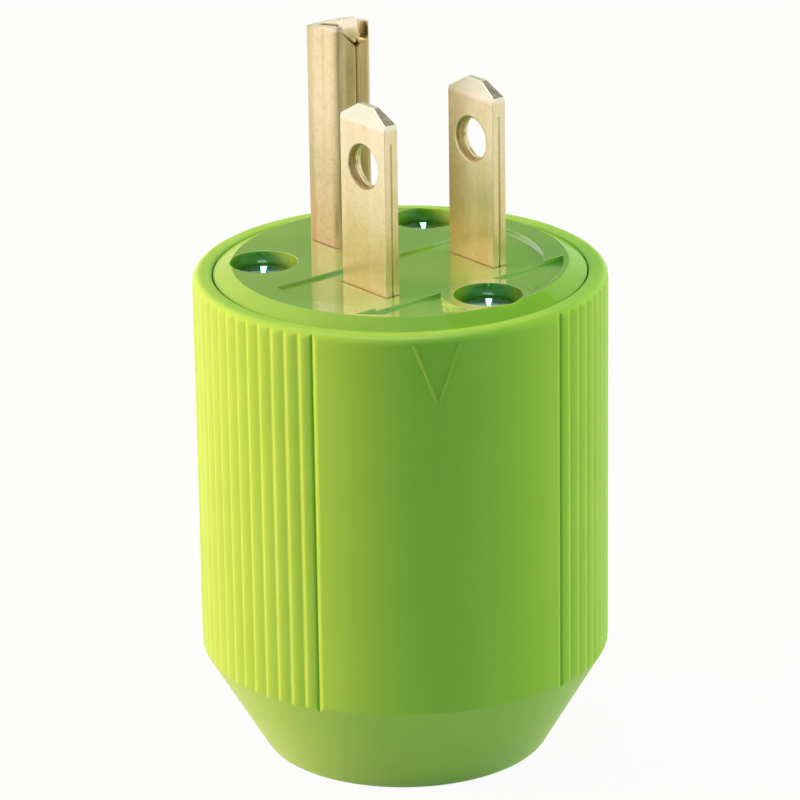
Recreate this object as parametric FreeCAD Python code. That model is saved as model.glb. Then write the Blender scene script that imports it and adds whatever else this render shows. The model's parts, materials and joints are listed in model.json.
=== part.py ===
import FreeCAD, Part
import math
import os

# Three-wire straight-blade plug standing on its cord end, blades up.
# Millimetres and degrees. Origin at the centre of the cord-end face, +Z along
# the blades, ground pin towards +Y, the two flat blades side by side along X.

# Housing shell
housing_radius = 19.25
housing_height = 46.75
housing_wall = 1.75
rim_rounding = 0.8
rim_inner_bevel = 0.3
shoulder_height = 10.2
cord_end_radius = 13.3
cord_end_rounding = 1.0
cord_end_floor = 3.2

# Grip reeds round the housing, parted by one-sided vee flutes and left out over a smooth panel
flute_pitch = 4.5
flute_depth = 0.2
flute_width = 1.3
flute_steep_share = 0.25
flute_runout = 0.3
flute_rim_gap = 0.05
panel_centre_angle = -117.0
panel_half_angle = 36.0

# Raised index mark, an open V, on the smooth panel
mark_angle = -119.4
mark_drop = 0.65
mark_height = 5.7
mark_half_width = 2.1
mark_line_width = 0.4
mark_relief = 0.12

# Tapered seat for the cord grip, and the ring groove cored out round it
collet_taper = 2.0
collet_top = 12.4
collar_thickness = 1.4
core_floor = 4.8

# Screw bosses and their threaded inserts
front_screw_angle = -90.0
back_screw_spread = 50.0
boss_radius = 3.6
boss_wall_gap = 1.3
insert_radius = 2.6
insert_length = 8.0

# Assembly screws
screw_shank_radius = 1.75
screw_clearance = 0.25
screw_head_radius = 2.75
screw_head_height = 2.2
screw_head_depth = 1.3
screw_head_bevel = 0.6
screw_tip_gap = 0.6
driver_slot_width = 0.75
driver_slot_length = 3.4
driver_slot_depth = 1.1

# Face plate
face_height = 47.5
face_thickness = 6.0
face_clearance = 0.2
face_shoulder_width = 1.7
face_shoulder_drop = 0.9
driver_well_radius = 3.15
band_depth = 0.3
band_near_reach = 5.2
band_far_reach = 5.25
border_width = 2.3
pocket_depth = 0.6
pocket_lip_width = 0.5
screw_pad_radius = 4.3

# Flat blades, each a folded double strip
blade_spacing = 12.7
blade_width = 6.35
blade_thickness = 1.52
blade_line = -3.6
blade_projection = 17.4
blade_tip_bevel_height = 1.6
blade_tip_bevel_depth = 0.42
blade_corner_width = 1.5
blade_corner_height = 1.1
blade_hole_radius = 1.98
blade_hole_height = 11.7
blade_hole_bevel = 0.22
blade_seam_width = 0.16
blade_seam_depth = 0.22
blade_seam_top_margin = 3.0
blade_foot_rise = 3.0
blade_ear_width = 8.8
blade_ear_height = 2.0
slot_clearance = 0.1

# Ground pin, a folded square tube with a flat tongue below the face
pin_spacing = 11.89
pin_width = 4.6
pin_depth = 4.9
pin_sheet = 0.95
pin_corner_radius = 1.1
pin_projection = 21.4
pin_seam_width = 0.35
pin_nose_drop = 1.0
pin_nose_run = 2.2
pin_notch_depth = 1.9
pin_tab_sheet = 0.7
pin_tab_rise = 0.5
pin_tab_lean = 3.1
pin_tab_drop = 2.2
pin_tab_width = 2.5
tongue_width = 7.0
tongue_thickness = 1.2
tongue_foot_rise = 2.0

# Terminals: a square clamp plate and a side screw on each conductor
clamp_plate_size = 6.8
clamp_plate_thickness = 1.5
terminal_height = 30.0
terminal_screw_radius = 1.6
terminal_screw_gap = 0.1
terminal_head_radius = 3.0
terminal_head_height = 2.0
terminal_screw_length = 5.2
terminal_wall_gap = 3.26

# Terminal carrier under the face plate
carrier_clearance = 0.3
terminal_rise = 7.0
terminal_headroom = 4.6
terminal_pocket_width = 7.6
screw_tip_space = 1.2

# Cord entry: rubber seal, two grip jaws and the slotted wire guide
seal_gap = 0.15
seal_recess = 0.4
seal_squeeze = 0.4
seal_lip_width = 0.9
seal_flange_gap = 0.4
seal_flange_thickness = 1.2
jaw_gap = 1.0
jaw_side_clearance = 0.15
jaw_wall = 2.3
jaw_ridge_height = 0.35
jaw_ridge_pitch = 2.2
jaw_ridge_count = 3
guide_gap = 0.4
guide_wall = 1.4
guide_ring_height = 1.6
guide_window_margin = 0.6

# Levels and radii that follow from the sizes above
bore_radius = housing_radius - housing_wall
screw_circle_radius = bore_radius - boss_wall_gap - boss_radius
collet_top_radius = screw_circle_radius - boss_radius
collet_bottom_radius = collet_top_radius - collet_taper
flute_top = housing_height - rim_rounding - flute_rim_gap
mark_top = housing_height - mark_drop
boss_top = terminal_height - terminal_rise
face_radius = bore_radius - face_clearance
face_crest_radius = face_radius - face_shoulder_width
face_bottom = face_height - face_thickness
band_level = face_height - band_depth
band_near_edge = blade_line - band_near_reach
band_far_edge = blade_line + band_far_reach
pin_line = blade_line + pin_spacing
pin_near_face = pin_line - pin_depth / 2
pin_far_face = pin_line + pin_depth / 2
tongue_face = bore_radius - terminal_wall_gap - terminal_head_height - clamp_plate_thickness
carrier_radius = bore_radius - carrier_clearance
screw_angles = (front_screw_angle, 90.0 - back_screw_spread, 90.0 + back_screw_spread)
screw_head_top = face_height - screw_head_depth
screw_seat = screw_head_top - screw_head_height
screw_tip_height = boss_top - insert_length + screw_tip_gap
terminal_pocket_top = terminal_height + terminal_headroom
seal_top = cord_end_floor + seal_flange_thickness
seal_flange_radius = collet_bottom_radius - seal_flange_gap
cord_hole_radius = seal_flange_radius - seal_lip_width
jaw_bore_radius = collet_bottom_radius - jaw_wall
seal_bore_radius = jaw_bore_radius - seal_squeeze
guide_outer_radius = collet_top_radius - guide_gap
guide_inner_radius = guide_outer_radius - guide_wall


def vector(x, y, z):
    return FreeCAD.Vector(x, y, z)


def box(x0, x1, y0, y1, z0, z1):
    """A box between two corners."""
    return Part.makeBox(x1 - x0, y1 - y0, z1 - z0, vector(x0, y0, z0))


def post(radius, z0, z1, x=0.0, y=0.0):
    """An upright cylinder."""
    return Part.makeCylinder(radius, z1 - z0, vector(x, y, z0))


def turned(points):
    """A solid turned round the Z axis from a closed outline of (radius, height) points."""
    outline = Part.makePolygon([vector(r, 0, z) for r, z in points + points[:1]])
    return Part.Face(outline).revolve(vector(0, 0, 0), vector(0, 0, 1), 360)


def prism(points, direction):
    """A solid pushed along a direction from a closed flat outline."""
    outline = Part.makePolygon(points + points[:1])
    return Part.Face(outline).extrude(direction)


def on_circle(radius, angle):
    """The x and y of a point at an angle round the axis."""
    return radius * math.cos(math.radians(angle)), radius * math.sin(math.radians(angle))


def circle_edges(shape, radius, height):
    """The round edges of a solid at one radius and height about the axis."""
    found = []
    for edge in shape.Edges:
        curve = edge.Curve
        if not isinstance(curve, Part.Circle):
            continue
        centred = math.hypot(curve.Center.x, curve.Center.y) < 0.01
        if centred and abs(curve.Radius - radius) < 0.01 and abs(curve.Center.z - height) < 0.01:
            found.append(edge)
    return found


def cone_radius(height):
    """The outside radius of the tapered cord end at a height."""
    share = height / shoulder_height
    return cord_end_radius + (housing_radius - cord_end_radius) * share


# Housing

def housing_envelope():
    """The plain outside: a cylinder on a cone, with its round edges eased."""
    body = turned([
        (0, 0),
        (cord_end_radius, 0),
        (housing_radius, shoulder_height),
        (housing_radius, housing_height),
        (0, housing_height),
    ])
    body = body.makeFillet(rim_rounding, circle_edges(body, housing_radius, housing_height))
    return body.makeFillet(cord_end_rounding, circle_edges(body, cord_end_radius, 0))


def flute_cutter(side):
    """One vee cutter on the X axis with its steep wall on one side, sloped at the top to run out under the rim."""
    floor = housing_radius - flute_depth
    outer = housing_radius + flute_depth
    foot = shoulder_height - flute_width
    steep = 2 * flute_width * flute_steep_share
    cutter = prism([
        vector(floor, 0, foot),
        vector(outer, side * steep, foot),
        vector(outer, side * (steep - 2 * flute_width), foot),
    ], vector(0, 0, housing_height))
    roof = prism([
        vector(floor, -2 * flute_width, flute_top - flute_runout),
        vector(outer, -2 * flute_width, flute_top + flute_runout),
        vector(outer, -2 * flute_width, foot + housing_height + 1.0),
        vector(floor, -2 * flute_width, foot + housing_height + 1.0),
    ], vector(0, 4 * flute_width, 0))
    return cutter.cut(roof)


def flute_cutters():
    """A cutter at each flute, from edge to edge of the panel, steep walls towards the mould's parting line."""
    patterns = {side: flute_cutter(side) for side in (-1, 1)}
    cutters = []
    count = int(round(360.0 / flute_pitch))
    for index in range(count):
        angle = index * flute_pitch
        off_panel = (angle - panel_centre_angle + 180.0) % 360.0 - 180.0
        if abs(off_panel) < panel_half_angle - flute_pitch / 2:
            continue
        cutter = patterns[-1 if math.sin(math.radians(2 * off_panel)) > 0 else 1].copy()
        cutter.rotate(vector(0, 0, 0), vector(0, 0, 1), angle)
        cutters.append(cutter)
    return cutters


def housing_cavity():
    """The inside: the bore, the ring groove in the cone and the tapered grip seat."""
    collar_radius = collet_top_radius + collar_thickness
    groove_floor_radius = cone_radius(core_floor) - housing_wall * 1.2
    return turned([
        (0, cord_end_floor),
        (collet_bottom_radius, cord_end_floor),
        (collet_bottom_radius, seal_top),
        (collet_top_radius, collet_top),
        (collar_radius, collet_top),
        (collar_radius, core_floor),
        (groove_floor_radius, core_floor),
        (bore_radius, shoulder_height + housing_wall * 0.3),
        (bore_radius, housing_height + 1.0),
        (0, housing_height + 1.0),
    ])


def screw_boss(angle):
    """A boss standing in the ring groove and webbed to the wall."""
    x, y = on_circle(screw_circle_radius, angle)
    web = box(screw_circle_radius, bore_radius + housing_wall / 2, -boss_radius / 2, boss_radius / 2,
              core_floor, boss_top)
    web.rotate(vector(0, 0, 0), vector(0, 0, 1), angle)
    return post(boss_radius, core_floor - 1.0, boss_top, x, y).fuse(web)


def index_mark():
    """The two strokes of the V, standing proud of the smooth panel."""
    reach = housing_radius + mark_relief
    strokes = []
    for side in (-1, 1):
        foot = vector(reach + 1, 0, mark_top - mark_height)
        head = vector(reach + 1, side * mark_half_width, mark_top)
        across = mark_line_width / 2
        corners = [
            vector(foot.x, foot.y - across, foot.z),
            vector(foot.x, foot.y + across, foot.z),
            vector(head.x, head.y + across, head.z),
            vector(head.x, head.y - across, head.z),
        ]
        strokes.append(prism(corners, vector(-1 - mark_relief - housing_wall, 0, 0)))
    skin = post(reach, mark_top - mark_height - 1, mark_top + 1)
    skin = skin.cut(post(bore_radius + housing_wall / 2, mark_top - mark_height - 1, mark_top + 1))
    mark = strokes[0].fuse(strokes[1]).common(skin)
    mark.rotate(vector(0, 0, 0), vector(0, 0, 1), mark_angle)
    return mark


def build_housing():
    hollow = housing_cavity().cut([screw_boss(angle) for angle in screw_angles])
    shell = housing_envelope().cut(hollow)
    shell = shell.cut(flute_cutters())
    shell = shell.fuse(index_mark())
    holes = [post(cord_hole_radius, -1.0, cord_end_floor + 1.0)]
    for angle in screw_angles:
        x, y = on_circle(screw_circle_radius, angle)
        holes.append(post(insert_radius, boss_top - insert_length, boss_top + 1.0, x, y))
    shell = shell.cut(holes)
    rim = circle_edges(shell, bore_radius, housing_height)
    return shell.makeChamfer(rim_inner_bevel, rim)


# Face plate

def blade_slot(side, z0, z1, width, gap):
    """The space of one flat blade, with a gap all round."""
    middle = side * blade_spacing / 2
    half_thickness = blade_thickness / 2 + gap
    half_width = width / 2 + gap
    return box(middle - half_thickness, middle + half_thickness,
               blade_line - half_width, blade_line + half_width, z0, z1)


def pin_outline(z0, z1, gap):
    """The rounded square outside of the ground pin, with a gap all round."""
    half = pin_width / 2 + gap
    block = box(-half, half, pin_near_face - gap, pin_far_face + gap, z0, z1)
    upright = [edge for edge in block.Edges if abs(edge.tangentAt(0).z) > 0.9]
    return block.makeFillet(pin_corner_radius + gap, upright)


def band_recess():
    """The shallow band that both flat blades stand in."""
    disc = post(face_crest_radius - border_width, band_level, face_height + 1.0)
    return disc.common(box(-face_radius, face_radius, band_near_edge, band_far_edge,
                           band_level, face_height + 1.0))


def front_pockets():
    """The two lower pockets in front of the band, either side of the front screw pad."""
    floor = face_height - pocket_depth
    x, y = on_circle(screw_circle_radius, front_screw_angle)
    pockets = post(face_crest_radius - pocket_lip_width, floor, face_height + 1.0)
    pockets = pockets.common(box(-face_radius, face_radius, -face_radius, band_near_edge,
                                 floor, face_height + 1.0))
    return pockets.cut(post(screw_pad_radius, floor - 1.0, face_height + 2.0, x, y))


def build_face_plate():
    plate = turned([
        (0, face_bottom),
        (face_radius, face_bottom),
        (face_radius, face_height - face_shoulder_drop),
        (face_crest_radius, face_height),
        (0, face_height),
    ])
    cuts = [band_recess(), front_pockets()]
    for side in (-1, 1):
        cuts.append(blade_slot(side, face_bottom - 1.0, face_height + 1.0, blade_width, slot_clearance))
    cuts.append(pin_outline(face_bottom - 1.0, face_height + 1.0, slot_clearance))
    for angle in screw_angles:
        x, y = on_circle(screw_circle_radius, angle)
        cuts.append(post(driver_well_radius, screw_seat, face_height + 1.0, x, y))
        cuts.append(post(screw_shank_radius + screw_clearance, face_bottom - 1.0, screw_seat + 1.0, x, y))
    return plate.cut(cuts)


# Blades and ground pin

def tip_wedges(z0, half_thickness, half_width):
    """The two wedges that bevel the wide faces at a blade's tip."""
    wedges = []
    foot = z0 - blade_tip_bevel_height
    for side in (-1, 1):
        wedges.append(prism([
            vector(side * half_thickness, -half_width - 1, foot),
            vector(side * (half_thickness - blade_tip_bevel_depth), -half_width - 1, z0),
            vector(side * (half_thickness + 1), -half_width - 1, z0 + 0.01),
            vector(side * (half_thickness + 1), -half_width - 1, foot),
        ], vector(0, 2 * half_width + 2, 0)))
    return wedges


def blade_hole(half_thickness, height):
    """The detent hole through a blade, with a small bevel on each face."""
    hole = Part.makeCylinder(blade_hole_radius, 4 * half_thickness,
                             vector(-2 * half_thickness, 0, height), vector(1, 0, 0))
    for side in (-1, 1):
        bevel = Part.makeCone(blade_hole_radius + blade_hole_bevel, blade_hole_radius, blade_hole_bevel,
                              vector(side * half_thickness, 0, height), vector(-side, 0, 0))
        hole = hole.fuse(bevel)
    return hole


def build_blade(side):
    """One flat blade with its tip, detent hole, edge seams, ears and screw hole."""
    tip = band_level + blade_projection
    half_width = blade_width / 2
    half_thickness = blade_thickness / 2
    half_ear = blade_ear_width / 2
    blade_foot = boss_top + blade_foot_rise
    ear_foot = face_bottom - blade_ear_height
    outline = [
        (-half_width, blade_foot), (half_width, blade_foot), (half_width, ear_foot), (half_ear, ear_foot),
        (half_ear, face_bottom), (half_width, face_bottom), (half_width, tip - blade_corner_height),
        (half_width - blade_corner_width, tip), (blade_corner_width - half_width, tip),
        (-half_width, tip - blade_corner_height), (-half_width, face_bottom), (-half_ear, face_bottom),
        (-half_ear, ear_foot), (-half_width, ear_foot),
    ]
    blade = prism([vector(-half_thickness, y, z) for y, z in outline], vector(blade_thickness, 0, 0))
    blade = blade.cut(tip_wedges(tip, half_thickness, half_width))
    blade = blade.cut(blade_hole(half_thickness, band_level + blade_hole_height))
    for edge in (-1, 1):
        inner = edge * (half_width - blade_seam_depth)
        outer = edge * (half_width + 1)
        blade = blade.cut(box(-blade_seam_width / 2, blade_seam_width / 2, min(inner, outer),
                              max(inner, outer), face_bottom + 1.0, tip - blade_seam_top_margin))
    blade.translate(vector(side * blade_spacing / 2, blade_line, 0))
    return blade.cut(terminal_bore(vector(side, 0, 0), side_terminal_face(side)))


def pin_nose(top):
    """The slope that takes the far shoulder off the pin's tip."""
    return prism([
        vector(-pin_width, pin_far_face + 1, top + 1),
        vector(-pin_width, pin_far_face - pin_nose_run, top + 1),
        vector(-pin_width, pin_far_face - pin_nose_run, top),
        vector(-pin_width, pin_far_face, top - pin_nose_drop),
        vector(-pin_width, pin_far_face + 1, top - pin_nose_drop),
    ], vector(2 * pin_width, 0, 0))


def pin_notch(top):
    """The V cut in the seamed wall at the pin's tip."""
    half = pin_width / 2 - pin_sheet / 2
    return prism([
        vector(-half, pin_near_face - 1, top + 1),
        vector(half, pin_near_face - 1, top + 1),
        vector(half, pin_near_face - 1, top - pin_notch_depth),
        vector(0, pin_near_face - 1, top - pin_notch_depth),
        vector(-half, pin_near_face - 1, top),
    ], vector(0, pin_sheet + 1.5, 0))


def pin_tab(top):
    """The tongue of the far wall, folded over into the notch."""
    root = pin_far_face - pin_nose_run + pin_tab_sheet
    crown = top + pin_tab_rise
    point = pin_near_face + 0.2
    half = pin_tab_width / 2
    side_view = prism([
        vector(-half, pin_far_face - pin_sheet / 2, top - pin_nose_drop - 1.5),
        vector(-half, pin_far_face - pin_sheet / 2, top - pin_nose_drop),
        vector(-half, root, crown - 0.3),
        vector(-half, point + pin_tab_lean / 2, crown),
        vector(-half, point, top - pin_tab_drop / 3),
        vector(-half, point, top - pin_tab_drop),
        vector(-half, point + pin_tab_sheet, top - pin_tab_drop),
        vector(-half, point + pin_tab_lean / 2, crown - pin_tab_sheet),
        vector(-half, root - pin_tab_sheet / 2, crown - pin_tab_sheet),
        vector(-half, pin_far_face - pin_sheet, top - pin_nose_drop - 1.5),
    ], vector(pin_tab_width, 0, 0))
    return side_view


def build_ground_pin():
    """The folded pin, open inside, with the flat tongue that carries its terminal."""
    top = face_height + pin_projection
    root = face_bottom
    pin = pin_outline(root, top, 0)
    half_inside = pin_width / 2 - pin_sheet
    hollow = box(-half_inside, half_inside, pin_near_face + pin_sheet, pin_far_face - pin_sheet,
                 root + tongue_thickness, top + 1)
    seam = box(-pin_seam_width / 2, pin_seam_width / 2, pin_near_face - 1,
               pin_near_face + pin_sheet + 0.5, root - 1, top + 1)
    pin = pin.cut([hollow, seam, pin_nose(top), pin_notch(top)])
    pin = pin.fuse(pin_tab(top))
    tongue = box(-tongue_width / 2, tongue_width / 2, tongue_face - tongue_thickness, tongue_face,
                 boss_top + tongue_foot_rise, root)
    bridge = box(-half_inside, half_inside, pin_near_face, max(tongue_face, pin_far_face),
                 root - tongue_thickness, root)
    pin = pin.fuse([tongue, bridge])
    return pin.cut(terminal_bore(vector(0, 1, 0), vector(0, tongue_face, terminal_height)))


# Terminals

def side_terminal_face(side):
    """Where the terminal screw's axis meets the outer wide face of a blade."""
    return vector(side * (blade_spacing + blade_thickness) / 2, blade_line, terminal_height)


def terminal_bore(outward, face):
    """The screw hole through a conductor, from its outer face inwards."""
    start = face + outward * 1.0
    return Part.makeCylinder(terminal_screw_radius + terminal_screw_gap,
                             tongue_thickness + blade_thickness + 1.0, start, outward * -1)


def build_clamp_plate(outward, face):
    """The square plate that clamps a wire against the conductor."""
    half = clamp_plate_size / 2
    plate = box(0, clamp_plate_thickness, -half, half, -half, half)
    plate = plate.cut(Part.makeCylinder(terminal_screw_radius + terminal_screw_gap, 3 * clamp_plate_thickness,
                                        vector(-clamp_plate_thickness, 0, 0), vector(1, 0, 0)))
    return placed(plate, outward, face)


def placed(shape, outward, origin):
    """Turns a shape made along +X to point outwards and moves it into place."""
    angle = math.degrees(math.atan2(outward.y, outward.x))
    shape.rotate(vector(0, 0, 0), vector(0, 0, 1), angle)
    shape.translate(origin)
    return shape


def driver_cross(radius_length, top, axis):
    """The two crossed slots that a driver turns, cut into a screw head."""
    half = driver_slot_width / 2
    reach = radius_length / 2
    if axis == "up":
        return [box(-reach, reach, -half, half, top - driver_slot_depth, top + 1),
                box(-half, half, -reach, reach, top - driver_slot_depth, top + 1)]
    return [box(top - driver_slot_depth, top + 1, -reach, reach, -half, half),
            box(top - driver_slot_depth, top + 1, -half, half, -reach, reach)]


def build_terminal_screw(outward, face):
    """A short screw through the clamp plate into the conductor."""
    head_top = clamp_plate_thickness + terminal_head_height
    along = vector(1, 0, 0)
    head = Part.makeCylinder(terminal_head_radius, terminal_head_height,
                             vector(clamp_plate_thickness, 0, 0), along)
    shank = Part.makeCylinder(terminal_screw_radius, terminal_screw_length,
                              vector(clamp_plate_thickness - terminal_screw_length, 0, 0), along)
    screw = head.fuse(shank).cut(driver_cross(driver_slot_length, head_top, "out"))
    return placed(screw, outward, face)


# Assembly screws and inserts

def build_assembly_screw(angle):
    """A long pan-head screw from the face down into its insert."""
    x, y = on_circle(screw_circle_radius, angle)
    head = post(screw_head_radius, screw_seat, screw_head_top)
    head = head.makeChamfer(screw_head_bevel, circle_edges(head, screw_head_radius, screw_head_top))
    screw = head.fuse(post(screw_shank_radius, screw_tip_height, screw_seat))
    screw = screw.cut(driver_cross(driver_slot_length, screw_head_top, "up"))
    screw.translate(vector(x, y, 0))
    return screw


def build_insert(angle):
    """The threaded sleeve pressed into a housing boss."""
    x, y = on_circle(screw_circle_radius, angle)
    foot = boss_top - insert_length
    sleeve = post(insert_radius, foot, boss_top, x, y)
    return sleeve.cut(post(screw_shank_radius, foot - 1.0, boss_top + 1.0, x, y))


# Terminal carrier

def terminal_pocket(outward, face):
    """The side pocket of one terminal, open outwards and down to the wires."""
    half = terminal_pocket_width / 2
    reach = bore_radius + 2.0
    pocket = box(0, reach, -half, half, boss_top - terminal_height - 1.0,
                 terminal_pocket_top - terminal_height)
    shank_reach = terminal_screw_length - clamp_plate_thickness
    tip_space = Part.makeCylinder(terminal_screw_radius + terminal_screw_gap * 4,
                                  shank_reach + screw_tip_space, vector(0, 0, 0), vector(-1, 0, 0))
    return placed(pocket.fuse(tip_space), outward, face)


def build_carrier():
    """The insulating block that holds the conductors apart."""
    carrier = post(carrier_radius, boss_top, face_bottom)
    cuts = [post(guide_inner_radius, boss_top - 1.0, boss_top + guide_ring_height)]
    for side in (-1, 1):
        cuts.append(blade_slot(side, boss_top + blade_foot_rise, face_bottom + 1.0,
                               blade_width, slot_clearance))
        cuts.append(blade_slot(side, face_bottom - blade_ear_height, face_bottom + 1.0,
                               blade_ear_width, slot_clearance))
        cuts.append(terminal_pocket(vector(side, 0, 0), side_terminal_face(side)))
    tongue_half = tongue_width / 2 + slot_clearance
    cuts.append(box(-tongue_half, tongue_half, tongue_face - tongue_thickness - slot_clearance,
                    tongue_face + slot_clearance, boss_top + tongue_foot_rise, face_bottom + 1.0))
    bridge_half = pin_width / 2
    cuts.append(box(-bridge_half, bridge_half, pin_near_face - slot_clearance,
                    max(tongue_face, pin_far_face), face_bottom - tongue_thickness, face_bottom + 1.0))
    cuts.append(terminal_pocket(vector(0, 1, 0), vector(0, tongue_face, terminal_height)))
    for angle in screw_angles:
        x, y = on_circle(screw_circle_radius, angle)
        cuts.append(post(screw_shank_radius + screw_clearance, boss_top - 1.0, face_bottom + 1.0, x, y))
    return carrier.cut(cuts)


# Cord entry

def build_cord_seal():
    """The rubber ring in the cord hole, flanged inside."""
    neck = cord_hole_radius - seal_gap
    return turned([
        (seal_bore_radius, seal_recess),
        (neck, seal_recess),
        (neck, cord_end_floor),
        (seal_flange_radius, cord_end_floor),
        (seal_flange_radius, seal_top),
        (seal_bore_radius, seal_top),
    ])


def build_grip_jaw(side):
    """Half of the tapered collet that closes on the cord."""
    bottom_radius = collet_bottom_radius - jaw_side_clearance
    top_radius = collet_top_radius - jaw_side_clearance
    collet = Part.makeCone(bottom_radius, top_radius, collet_top - seal_top, vector(0, 0, seal_top))
    bore = post(jaw_bore_radius, seal_top - 1.0, collet_top + 1.0)
    middle = (seal_top + collet_top) / 2
    ridges = []
    for index in range(jaw_ridge_count):
        height = middle + (index - (jaw_ridge_count - 1) / 2) * jaw_ridge_pitch
        ridges.append(turned([
            (jaw_bore_radius + 0.5, height - jaw_ridge_height),
            (jaw_bore_radius - jaw_ridge_height, height),
            (jaw_bore_radius + 0.5, height + jaw_ridge_height),
        ]))
    ring = collet.cut(bore).fuse(ridges)
    reach = collet_top_radius + 1.0
    half = box(min(side * jaw_gap / 2, side * reach), max(side * jaw_gap / 2, side * reach),
               -reach, reach, 0, collet_top + 1.0)
    return ring.common(half)


def build_wire_guide():
    """The slotted sleeve between the jaws and the carrier; wires leave by its windows."""
    guide = post(guide_outer_radius, collet_top, boss_top).cut(post(guide_inner_radius, 0, boss_top + 1.0))
    half_window = (guide_outer_radius - guide_window_margin) / 2
    windows = []
    for angle in screw_angles:
        window = box(0, guide_outer_radius + 1.0, -half_window, half_window,
                     collet_top + guide_ring_height, boss_top - guide_ring_height)
        window.rotate(vector(0, 0, 0), vector(0, 0, 1), angle + 180.0)
        windows.append(window)
    return guide.cut(windows)


def build_parts():
    """Every piece of the plug by its name."""
    left, right, back = vector(-1, 0, 0), vector(1, 0, 0), vector(0, 1, 0)
    seats = {
        "line": (right, side_terminal_face(1)),
        "neutral": (left, side_terminal_face(-1)),
        "ground": (back, vector(0, tongue_face, terminal_height)),
    }
    parts = {
        "housing": build_housing(),
        "face_plate": build_face_plate(),
        "terminal_carrier": build_carrier(),
        "line_blade": build_blade(1),
        "neutral_blade": build_blade(-1),
        "ground_pin": build_ground_pin(),
        "cord_seal": build_cord_seal(),
        "cord_grip_jaw_left": build_grip_jaw(-1),
        "cord_grip_jaw_right": build_grip_jaw(1),
        "wire_guide": build_wire_guide(),
    }
    for name, (outward, face) in seats.items():
        parts[name + "_clamp_plate"] = build_clamp_plate(outward, face)
        parts[name + "_terminal_screw"] = build_terminal_screw(outward, face)
    for number, angle in enumerate(screw_angles, 1):
        parts["assembly_screw_%d" % number] = build_assembly_screw(angle)
        parts["threaded_insert_%d" % number] = build_insert(angle)
    return parts


os.makedirs("parts", exist_ok=True)
for part_name, part_shape in build_parts().items():
    part_shape.exportStep("parts/%s.step" % part_name)
    print(part_name, "solids", len(part_shape.Solids), "valid", part_shape.isValid(),
          "volume %.1f" % part_shape.Volume)
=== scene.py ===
"""The looks of a three-wire straight-blade plug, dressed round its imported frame."""

import json
import logging
import math
from contextlib import contextmanager
from dataclasses import dataclass
from enum import Enum
from functools import cached_property
from typing import Iterable, Iterator, Optional, Sequence, Union

import bmesh
import bpy
from mathutils import Matrix, Quaternion, Vector

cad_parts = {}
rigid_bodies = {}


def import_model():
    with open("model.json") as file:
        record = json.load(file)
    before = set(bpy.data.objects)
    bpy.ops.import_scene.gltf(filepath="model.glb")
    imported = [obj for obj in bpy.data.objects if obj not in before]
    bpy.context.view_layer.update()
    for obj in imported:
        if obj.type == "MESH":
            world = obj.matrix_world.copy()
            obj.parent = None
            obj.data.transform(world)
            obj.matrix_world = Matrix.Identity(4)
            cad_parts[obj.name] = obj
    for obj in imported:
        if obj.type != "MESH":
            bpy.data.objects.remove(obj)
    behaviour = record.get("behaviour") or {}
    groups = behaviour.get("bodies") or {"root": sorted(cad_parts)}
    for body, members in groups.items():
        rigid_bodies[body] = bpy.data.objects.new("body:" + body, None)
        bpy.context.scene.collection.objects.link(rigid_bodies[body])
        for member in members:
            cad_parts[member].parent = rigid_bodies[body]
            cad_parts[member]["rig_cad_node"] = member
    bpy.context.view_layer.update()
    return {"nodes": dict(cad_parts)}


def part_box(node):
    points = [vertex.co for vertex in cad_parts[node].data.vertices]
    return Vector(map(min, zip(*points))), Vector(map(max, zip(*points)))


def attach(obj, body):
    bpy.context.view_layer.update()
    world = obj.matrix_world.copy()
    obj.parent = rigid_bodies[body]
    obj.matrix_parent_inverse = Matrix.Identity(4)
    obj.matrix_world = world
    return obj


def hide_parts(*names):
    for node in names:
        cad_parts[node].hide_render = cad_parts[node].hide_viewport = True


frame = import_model()

MM = 0.001
SCREW_ANGLES = (-90.0, 40.0, 140.0)
SQUARE = ((-1, -1), (1, -1), (1, 1), (-1, 1))
log = logging.getLogger("plug")

Node = bpy.types.Node
Material = bpy.types.Material
World = bpy.types.World
Piece = bpy.types.Object
Pieces = dict[str, Piece]
Socket = bpy.types.NodeSocket
Pair = tuple[float, float]
Point = tuple[float, float, float]
Corner = tuple[float, float, float]
Cut = tuple[Point, Point]
Face = tuple[int, ...]
Colour = tuple[float, float, float]


class Slot(Enum):
    """The material slots of the record."""

    HOUSING = "housing_nylon"
    FACE = "face_polycarbonate"
    CARRIER = "carrier_plastic"
    BLADE = "blade_brass"
    PIN = "pin_brass"
    SEAL = "seal_rubber"
    JAW = "jaw_plastic"
    GUIDE = "guide_plastic"
    PLATE = "plate_brass"
    TERMINAL_BRASS = "terminal_screw_brass"
    TERMINAL_STEEL = "terminal_screw_steel"
    TERMINAL_GREEN = "terminal_screw_green"
    ASSEMBLY_SCREW = "assembly_screw_steel"
    INSERT = "insert_brass"


# Shader maths

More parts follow.
